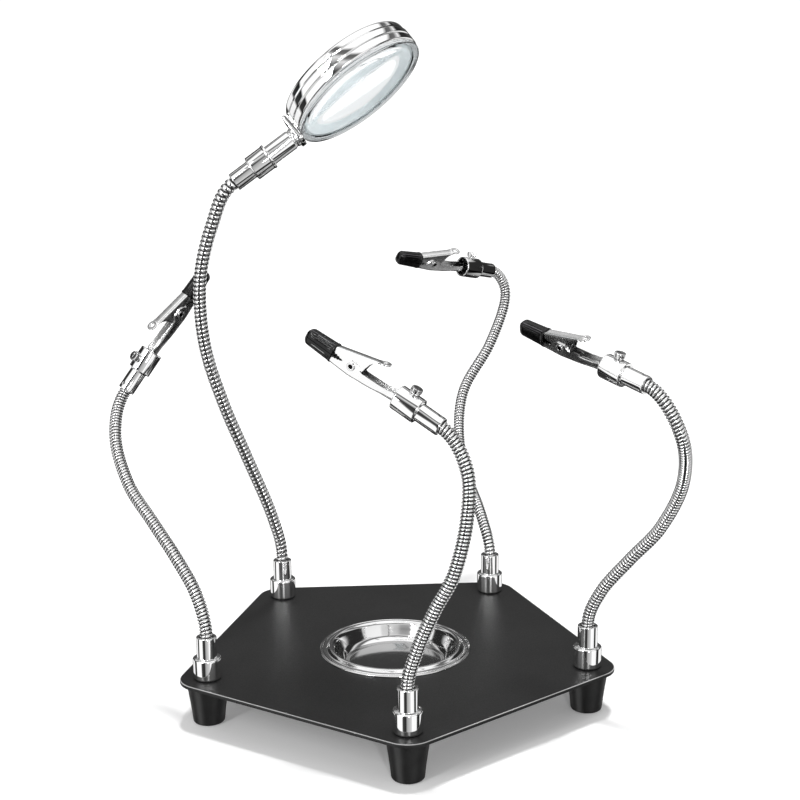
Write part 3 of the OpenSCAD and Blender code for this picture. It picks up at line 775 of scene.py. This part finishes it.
# Lines of the jaws along the clip: the edges and the web of each, half its width and its fold's radius.
JAW_START, JAW_END, LEVER_START = -9, 51, 14
LOWER_TOP = [
    (-9, 1.1), (0.3, 1.1), (1.6, 1.9), (5, 1.1), (10, 0.7), (19.4, 0.5), (21.2, 1.0), (22.4, 2.3),
    (23.6, 3.1), (28.0, 3.1), (29.6, 2.2), (31.2, 0.2), (33.5, -0.9), (36.8, -1.4), (39, -0.8),
    (51, -0.8),
]
LOWER_LOW = [(-9, -3.18), (7, -3.2), (18, -4.2), (26, -4.75), (35, -4.3), (51, -1.95)]
LOWER_HALF = [(-9, 3.16), (2, 3.18), (7, 3.3), (36, 3.3), (51, 2.4)]
LOWER_CORNER = [(-9, 3.0), (2, 2.9), (12, 1.5), (51, 1.1)]
UPPER_TOP = [(13, 10.6), (38, 4.1), (51, 1.95)]
UPPER_EDGE = [
    (14, 9.6), (15, 9.2), (16.8, 8.2), (18.2, 6.6), (19.2, 4.2), (20.2, 1.2), (21.4, -1.0), (24, -2.3),
    (27, -2.2), (29.5, -1.0), (31.5, 0.3), (33.5, 1.2), (36.5, 1.7), (38.5, 1.0), (51, 0.75),
]
UPPER_HALF = [(14, 2.3), (15.5, 2.6), (36, 2.6), (51, 2.2)]
LEVER_TILT = math.atan((UPPER_TOP[0][1] - UPPER_TOP[1][1]) / (UPPER_TOP[1][0] - UPPER_TOP[0][0]))
TEETH_START, TEETH_END, TOOTH_LEN, TOOTH_DEEP = 32.4, 38.0, 1.4, 0.7


def teeth(x):
    """Small saw teeth along the meeting edges, just behind the sleeves."""
    if not TEETH_START < x < TEETH_END:
        return 0.0
    t = ((x - TEETH_START) / TOOTH_LEN) % 1.0
    return TOOTH_DEEP * (1 - abs(2 * t - 1))


def jaws(arm):
    name = ARMS[arm]
    at = clip_frame(arm)
    rings = []
    for x in stations(JAW_START, JAW_END, 0.5, [19.4, 21.2, 22.4, 23.6, 28, 31.2]):
        high = along(LOWER_TOP, x) + teeth(x)
        low = along(LOWER_LOW, x)
        rings.append(channel_ring(x, along(LOWER_HALF, x), low, high, along(LOWER_CORNER, x), SHEET_T))
    mesh = joined(f"lower_jaw_look_{name}", [loft(rings)], 38, at, inside_dark(rings))
    part(mesh.name, mesh, JAW_NICKEL, f"clip_{name}", [f"lower_jaw_{name}"])
    rings = []
    for x in stations(LEVER_START, JAW_END, 0.45, [20.2, 21.4]):
        top = straight(UPPER_TOP, x)
        edge = min(along(UPPER_EDGE, x) - teeth(x), top - 0.62)
        rings.append(channel_ring(x, along(UPPER_HALF, x), -top, -edge, 1.1, SHEET_T, True))
    # The lever ends in a round pad with a hole.
    pad = fillet([
        (1.35, -0.68, 0.2), (3.1, -0.68, 0.3), (3.1, 0.1, 0.35), (1.35, 0.1, 0.3),
    ], steps=4, closed=True)
    tilt = Matrix.Translation((12.6, 0, 10.68)) @ Matrix.Rotation(LEVER_TILT, 4, "Y")
    turns = np.linspace(0, 2 * math.pi, 41)[:-1]
    rows = [
        [tuple(tilt @ Vector((r * math.cos(q), r * math.sin(q), z))) for q in turns] for r, z in pad
    ]
    ring_pad = loft(rows + rows[:1], False, False)
    shade = inside_dark(rings) + [0.0] * len(ring_pad[0])
    mesh = joined(f"upper_jaw_look_{name}", [loft(rings), ring_pad], 38, at, shade)
    part(mesh.name, mesh, JAW_NICKEL, f"jaw_{name}", [f"upper_jaw_{name}"])


def rivet_and_spring(arm):
    name = ARMS[arm]
    at = clip_frame(arm) @ Matrix.Translation((RIVET_X, 0, RIVET_Z))
    end = JAW_W / 2 + 0.55
    profile = fillet([
        (0, -end + 0.4, 0), (1.05, -end + 0.4, 0), (1.1, -end, 0.25), (2.1, -end, 0.3),
        (2.1, -end + 0.6, 0.15), (1.6, -end + 0.6, 0), (1.6, end - 0.6, 0), (2.1, end - 0.6, 0.15),
        (2.1, end, 0.3), (1.1, end, 0.25), (1.05, end - 0.4, 0), (0, end - 0.4, 0),
    ], steps=4)

    # Painted shade: the rivet's hole is black, and a dark ring runs round the inner rim of each head.
    def painted_rivet_shade(x, y, z):
        away = math.hypot(x, y)
        if away < 1.12:
            return 1.0
        return 0.7 if away > 2.0 and abs(z) < end - 0.3 else 0.0

    mesh = lathe(f"rivet_look_{name}", profile, 40, at @ ALONG_Y, 40, shade=painted_rivet_shade)
    part(mesh.name, mesh, SCREW_NICKEL, f"clip_{name}", [f"jaw_rivet_{name}"])
    coil_r, wire, pitch = 2.25, 0.35, 0.95
    points = [(-9.0, -pitch * 1.25, -2.75), (-4.5, -pitch * 1.25, -2.5)]
    for degrees in range(-90, 811, 10):
        q = math.radians(degrees)
        points.append((coil_r * math.cos(q), pitch * (degrees - 360) / 360, coil_r * math.sin(q)))
    points += [(-2.0, pitch * 1.25, 2.85), (-4.0, pitch * 1.25, 3.85)]
    points = np.array(points)
    ahead = np.gradient(points, axis=0)
    ahead /= np.linalg.norm(ahead, axis=1)[:, None]
    rings = []
    for p, d in zip(points, ahead):
        u = np.cross(d, (0, 1, 0))
        u /= np.linalg.norm(u)
        w = np.cross(d, u)
        rings.append([
            tuple(p + wire * (u * math.cos(t) + w * math.sin(t)))
            for t in np.linspace(0, 2 * math.pi, 11)[:-1]
        ])
    mesh = joined(f"spring_look_{name}", [loft(rings)], 60, at)
    part(mesh.name, mesh, SPRING_STEEL, f"clip_{name}", [f"jaw_spring_{name}"])


# Half the width and the height of a sleeve's ribbed back, at its rear and where its nose starts.
BACK_HALF, BACK_HIGH = 3.76, 4.55
NOSE_HALF, NOSE_HIGH = 3.4, 4.0
# The rolled rear edge and the nose, and half the width of the rolled edge.
CUFF_LEN, NOSE_LEN, CUFF_HALF = 1.4, 3.0, 3.9
# The rolled edge's sections: how far along, how high and how far inside the outer line.
CUFF = [
    (3.5, 4.6, 0.55), (0.5, 4.6, 0.5), (0.12, 4.6, 0.4), (0, 4.65, 0.2), (0.12, 4.72, 0.04),
    (0.5, 4.75, 0), (1.1, 4.72, 0),
]
# Points of a section on the crests of ribs that carry a painted highlight: those crests are coloured
# paler.
CREST_HIGHLIGHT = {18: 0.7, 27: 1.0, 28: 1.0, 54: 0.8}
FACE_Z = 0.15
RIBS = 8


def sleeve_ring(x, half, height, inset=0.0, ribs=0.0):
    """A D-shaped cross-section, flat at the meeting face and ribbed over its back."""
    points = []
    for k in range(73):
        t = k / 72
        q = math.pi * t
        cy, cz = math.cos(q), math.sin(q)
        y = math.copysign(abs(cy) ** 0.62, cy)
        z = abs(cz) ** 0.72
        wave = ribs * 0.5 * (1 - math.cos(2 * math.pi * RIBS * t)) if 0.08 < t < 0.92 else 0.0
        scale_y = half - inset - wave
        scale_z = height - inset - wave
        points.append((x, y * scale_y, FACE_Z + inset + max(z * scale_z - inset, 0.0)))
    for k in range(1, 12):
        t = k / 12
        y = -(half - inset) * (1 - 2 * t)
        points.append((x, y, FACE_Z + inset))
    return points


def sleeves(arm):
    name = ARMS[arm]
    at = clip_frame(arm)
    rear = CLIP_LEN - SLEEVE_LEN
    back_x = rear + CUFF_LEN
    back_len = SLEEVE_LEN - CUFF_LEN - NOSE_LEN
    rings = [sleeve_ring(rear + x, CUFF_HALF, height, inset) for x, height, inset in CUFF]
    rings.append(sleeve_ring(back_x, BACK_HALF, BACK_HIGH, 0, 0.1))
    for k in range(1, 20):
        t = k / 20
        half = BACK_HALF + (NOSE_HALF - BACK_HALF) * t
        height = BACK_HIGH + (NOSE_HIGH - BACK_HIGH) * t
        ribs = 0.34 * min(1.0, 5 * t, 4 * (1 - t))
        rings.append(sleeve_ring(back_x + back_len * t, half, height, 0, ribs))
    for k in range(11):
        q = math.radians(88 * k / 10)
        fall = 0.2 + 0.8 * math.cos(q)
        x = back_x + back_len + NOSE_LEN * math.sin(q)
        rings.append(sleeve_ring(x, NOSE_HALF * fall, NOSE_HIGH * fall))
    # Painted highlight: the crest points listed above, along the ribbed back only, are coloured paler.
    painted_highlight = [
        CREST_HIGHLIGHT.get(k, 0.0) if len(CUFF) <= i < len(rings) - 6 else 0.0
        for i, ring in enumerate(rings) for k in range(len(ring))
    ]
    for side, body in (("upper", f"jaw_{name}"), ("lower", f"clip_{name}")):
        verts, faces = loft(rings)
        if side == "lower":
            verts = [(x, y, -z) for x, y, z in verts]
        mesh = joined(f"{side}_sleeve_look_{name}", [(verts, faces)], 50, at, painted_highlight)
        part(mesh.name, mesh, VINYL, body, [f"{side}_sleeve_{name}"])


# ---------------------------------------------------------------- magnifier
def magnifier():
    at = tip_frame(LENS_ARM)
    stem = fillet([
        (0, STEM_X - 7.4, 0), (4.7, STEM_X - 7.4, 0.3), (5.0, STEM_X - 6.8, 0.2),
        (5.0, STEM_X + 13.2, 0.3), (4.55, STEM_X + 13.6, 0.2), (4.55, STEM_X + 14.3, 0.2),
        (5.0, STEM_X + 14.7, 0.3), (5.0, STEM_X + STEM_LEN, 0.1), (0, STEM_X + STEM_LEN, 0),
    ], steps=4)
    mesh = lathe("lens_stem_look", stem, 64, at @ ALONG_X, 35)
    part(mesh.name, mesh, CHROME, "lens_head", ["lens_stem"])
    corners = fillet([(-6, -5, 2.2), (6, -5, 2.2), (6, 10.6, 1.0), (-6, 10.6, 1.0)], steps=5, closed=True)
    middle = Vector((0, 2.8))
    rings = []
    for x, shrink in ((38.0, 0.3), (38.08, 0.08), (38.3, 0.0), (40.2, 0.0), (40.5, 0.15)):
        ring = []
        for y, z in corners:
            v = Vector((y, z)) - middle
            v = v * (1 - shrink / v.length) + middle
            ring.append((x, v.x, v.y))
        rings.append(ring)
    mesh = joined("lens_bracket_look", [loft(rings)], 35, at)
    part(mesh.name, mesh, CHROME, "lens_head", ["lens_bracket"])
    centre = at @ Matrix.Translation((BEZEL_X, 0, 0))
    band = BEZEL_H / 3
    bezel = fillet([
        (LENS_R, 0.05, 0.1), (36.0, 0, 0.3), (36.45, 0.45, 0.35), (36.5, band - 0.45, 0.25),
        (36.0, band - 0.1, 0.15), (36.0, band + 0.1, 0.15), (36.5, band + 0.45, 0.25),
        (36.45, 2 * band - 0.5, 0.25), (35.75, 2 * band - 0.1, 0.2), (35.85, 2 * band + 0.2, 0.2),
        (36.0, 2 * band + 0.5, 0.3), (35.8, 3 * band - 1.0, 0.6), (35.1, BEZEL_H - 0.1, 0.5),
        (34.2, BEZEL_H, 0.4), (33.5, BEZEL_H - 0.5, 0.3), (LENS_R, BEZEL_H - 1.4, 0.2),
    ], steps=5, closed=True)
    mesh = lathe("lens_bezel_look", bezel, 192, centre, 40, closed=True)
    part(mesh.name, mesh, BEZEL_CHROME, "lens_head", ["lens_bezel"])
    ring = fillet([
        (33.27, 0.15, 0), (33.27, BEZEL_H - 1.5, 0.1), (33.0, BEZEL_H - 1.5, 0.1), (33.0, 4.9, 0.2),
        (32.0, 4.55, 0.4), (31.8, 3.5, 0.2), (31.75, 3.1, 0), (33.18, 3.1, 0), (33.18, 0.15, 0),
    ], steps=4, closed=True)
    mesh = lathe("lens_retainer_look", ring, 144, centre, 40, closed=True)
    part(mesh.name, mesh, RETAINER, "lens_head", ["lens_retainer"])
    edge_r, bulge, edge_t, rim = LENS_R - 1.8, 2.6, 3.0, 2.4
    ball = (edge_r ** 2 + bulge ** 2) / (2 * bulge)
    face = []
    for k in range(25):
        q = math.asin(edge_r / ball) * k / 24
        face.append((ball * math.sin(q), bulge - ball * (1 - math.cos(q))))
    profile = [(r, edge_t + h) for r, h in face]
    profile += fillet([
        (31.6, edge_t), (33.1, edge_t, 0.2), (33.15, 0.0, 0.1), (35.8, -0.02, 0.2),
        (35.95, -rim + 0.1, 0.5), (33.6, -rim, 0.4), (31.7, -rim - 0.02),
    ], steps=4)
    profile += [(r, -rim - h) for r, h in reversed(face)]

    # Painted shade: the lens's clear rim beyond its face is coloured darker.
    def painted_rim_shade(x, y, z):
        return 0.5 if math.hypot(x, y) > 33.1 else 0.0

    mesh = lathe("lens_look", profile, 144, centre, 30, shade=painted_rim_shade)
    part(mesh.name, mesh, GLASS, "lens_head", ["lens"])


# ---------------------------------------------------------------- the object
base_plate()
feet_and_sockets()
parts_tray()
for arm_number in range(5):
    neck(arm_number)
    if arm_number == LENS_ARM:
        continue
    clip_holder(arm_number)
    thumbscrew(arm_number)
    jaws(arm_number)
    rivet_and_spring(arm_number)
    sleeves(arm_number)
lens_holder()
magnifier()
for node_name in ("foot_washers", "foot_screws"):
    for material_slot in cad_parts[node_name].material_slots:
        material_slot.material = ZINC


# ---------------------------------------------------------------- floor, light, camera
def floor():
    size, cells, drop = 30.0, 8, 0.0002
    row = cells + 1
    verts = [
        ((i / cells - 0.5) * size, (j / cells - 0.5) * size, -drop)
        for j in range(row) for i in range(row)
    ]
    faces = [
        (j * row + i, j * row + i + 1, (j + 1) * row + i + 1, (j + 1) * row + i)
        for j in range(cells) for i in range(cells)
    ]
    mesh = bpy.data.meshes.new("studio_floor")
    mesh.from_pydata(verts, [], faces)
    obj = bpy.data.objects.new("studio_floor", mesh)
    scene.collection.objects.link(obj)
    s = Shader("studio_floor", Roughness=0.9)
    s.put(s.ramp(s.noise(3, 2), [(0.3, grey(0.86)), (0.7, grey(0.88))]), "Base Color")
    s.shader.inputs["Specular IOR Level"].default_value = 0.0
    s.shader.inputs["Emission Color"].default_value = (1, 1, 1, 1)
    s.shader.inputs["Emission Strength"].default_value = 0.14
    mesh.materials.append(s.material)
    obj.visible_glossy = False


def studio_world():
    """A white studio with dark flags round it, so that bright metal shows crisp light and dark bands."""
    world = bpy.data.worlds.new("studio")
    scene.world = world
    world.use_nodes = True
    tree = world.node_tree
    tree.nodes.clear()
    link = tree.links.new

    def math_node(kind, a, b=None):
        node = tree.nodes.new("ShaderNodeMath")
        node.operation = kind
        for socket, value in zip(node.inputs, (a, b)):
            if value is None:
                continue
            if isinstance(value, (int, float)):
                socket.default_value = value
            else:
                link(value, socket)
        return node.outputs[0]

    def ramp_node(source, values):
        node = tree.nodes.new("ShaderNodeValToRGB")
        fill_ramp(node.color_ramp, [(place, grey(value)) for place, value in values])
        link(source, node.inputs["Fac"])
        return node.outputs["Color"]

    coords = tree.nodes.new("ShaderNodeTexCoord")
    split = tree.nodes.new("ShaderNodeSeparateXYZ")
    link(coords.outputs["Generated"], split.inputs[0])
    x, y, z = split.outputs
    azimuth = math_node("ARCTAN2", x, math_node("MULTIPLY", y, -1.0))
    around = math_node("MULTIPLY_ADD", azimuth, 0.5 / math.pi)
    around.node.inputs[2].default_value = 0.5
    up = math_node("MULTIPLY_ADD", math_node("ARCSINE", z), 1 / math.pi)
    up.node.inputs[2].default_value = 0.5

    def turn(degrees):
        return 0.5 + degrees / 360

    def rise(degrees):
        return 0.5 + degrees / 180

    bands = ramp_node(around, [
        (turn(-180), 0.09), (turn(-146), 0.05), (turn(-140), 0.95), (turn(-112), 1.0),
        (turn(-107), 0.04), (turn(-88), 0.02), (turn(-84), 1.1), (turn(-46), 1.1), (turn(-40), 0.06),
        (turn(-16), 0.02), (turn(-8), 0.4), (turn(24), 0.7), (turn(28), 1.1), (turn(64), 1.0),
        (turn(67), 0.03), (turn(90), 0.02), (turn(94), 1.0), (turn(136), 0.95), (turn(142), 0.05),
        (turn(180), 0.09),
    ])
    heights = ramp_node(up, [
        (rise(-90), 0.01), (rise(-60), 0.02), (rise(-55), 0.35), (rise(-44), 0.55), (rise(-40), 0.02),
        (rise(-31), 0.02), (rise(-26), 1.0), (rise(90), 1.0),
    ])
    high = ramp_node(up, [(rise(-90), 0.0), (rise(24), 0.0), (rise(40), 1.0), (rise(90), 1.0)])
    overhead = ramp_node(up, [
        (rise(-90), 1.0), (rise(38), 0.9), (rise(44), 0.16), (rise(50), 0.12), (rise(55), 1.15),
        (rise(90), 1.3),
    ])
    # A bright panel from low to high at one side, and dark flags low on both flanks.
    pillar = math_node("MULTIPLY", ramp_node(around, [
        (turn(-88), 0.0), (turn(-84), 1.0), (turn(-52), 1.0), (turn(-47), 0.0),
    ]), ramp_node(up, [(rise(-64), 0.0), (rise(-60), 1.0), (rise(60), 1.0)]))
    flank = math_node("MULTIPLY", ramp_node(around, [
        (turn(-158), 0.0), (turn(-152), 1.0), (turn(-98), 1.0), (turn(-92), 0.0),
        (turn(70), 0.0), (turn(76), 1.0), (turn(150), 1.0), (turn(156), 0.0),
    ]), ramp_node(up, [(rise(6), 0.0), (rise(11), 1.0), (rise(33), 1.0), (rise(38), 0.0)]))

    def mix(factor, a, b, blend="MIX"):
        node = tree.nodes.new("ShaderNodeMix")
        node.data_type = "RGBA"
        node.blend_type = blend
        for index, value in ((MIX_FACTOR, factor), (MIX_A, a), (MIX_B, b)):
            if isinstance(value, (float, tuple)):
                node.inputs[index].default_value = value
            else:
                link(value, node.inputs[index])
        return node.outputs[MIX_OUT]

    sides = mix(1.0, bands, heights, "MULTIPLY")
    seen = mix(high, sides, overhead)
    seen = mix(flank, seen, (*grey(0.025), 1.0))
    seen = mix(pillar, seen, (*grey(1.1), 1.0))
    path = tree.nodes.new("ShaderNodeLightPath")
    through = math_node("GREATER_THAN", path.outputs["Transmission Depth"], 0.5)
    direct = math_node("MAXIMUM", path.outputs["Is Camera Ray"], through)
    shown = mix(direct, seen, (*grey(1.08), 1.0))
    soft = mix(path.outputs["Is Diffuse Ray"], shown, (*grey(0.48), 1.0))
    background = tree.nodes.new("ShaderNodeBackground")
    link(soft, background.inputs["Color"])
    background.inputs["Strength"].default_value = 1.0
    output = tree.nodes.new("ShaderNodeOutputWorld")
    link(background.outputs[0], output.inputs["Surface"])


def light(name, kind, power, location, target):
    data = bpy.data.lights.new(name, kind)
    data.energy = power
    obj = bpy.data.objects.new(name, data)
    scene.collection.objects.link(obj)
    obj.location = location
    obj.rotation_mode = "QUATERNION"
    obj.rotation_quaternion = (Vector(target) - Vector(location)).to_track_quat("-Z", "Y")
    return obj


def sun_light(name, location, power, angle):
    obj = light(name, "SUN", power, location, (0.0, 0.0, 0.0))
    obj.data.angle = math.radians(angle)
    obj.visible_glossy = False


def strip_light(name, location, target, size, power):
    obj = light(name, "AREA", power, location, target)
    obj.data.shape = "RECTANGLE"
    obj.data.size, obj.data.size_y = size


CAMERA_AT = (-0.0453, -0.8146, 0.3604)
CAMERA_LOOK = (0.0583, 0.9702, -0.2351)
CAMERA_ROLL = 0.0070753
CAMERA_LENS = 71.93


def camera():
    data = bpy.data.cameras.new("camera")
    obj = bpy.data.objects.new("camera", data)
    scene.collection.objects.link(obj)
    data.lens = CAMERA_LENS
    data.sensor_width = 36.0
    data.clip_start, data.clip_end = 0.01, 100.0
    look = Vector(CAMERA_LOOK).normalized()
    right = look.cross(Vector((0, 0, 1))).normalized()
    up = right.cross(look)
    right, up = (
        right * math.cos(CAMERA_ROLL) - up * math.sin(CAMERA_ROLL),
        right * math.sin(CAMERA_ROLL) + up * math.cos(CAMERA_ROLL),
    )
    turn = Matrix((right, up, -look)).transposed().to_4x4()
    obj.matrix_world = Matrix.Translation(CAMERA_AT) @ turn
    scene.camera = obj


floor()
studio_world()
sun_light("key", (0.1, 0.2, 1.5), 2.6, 9)
strip_light("strip_left", (-0.8, -0.9, 0.75), (0.0, 0.0, 0.2), (0.09, 0.8), 5)
strip_light("strip_front", (0.15, -1.5, 0.5), (0.0, 0.0, 0.1), (0.12, 0.6), 6)
camera()
scene.view_settings.view_transform = "Standard"
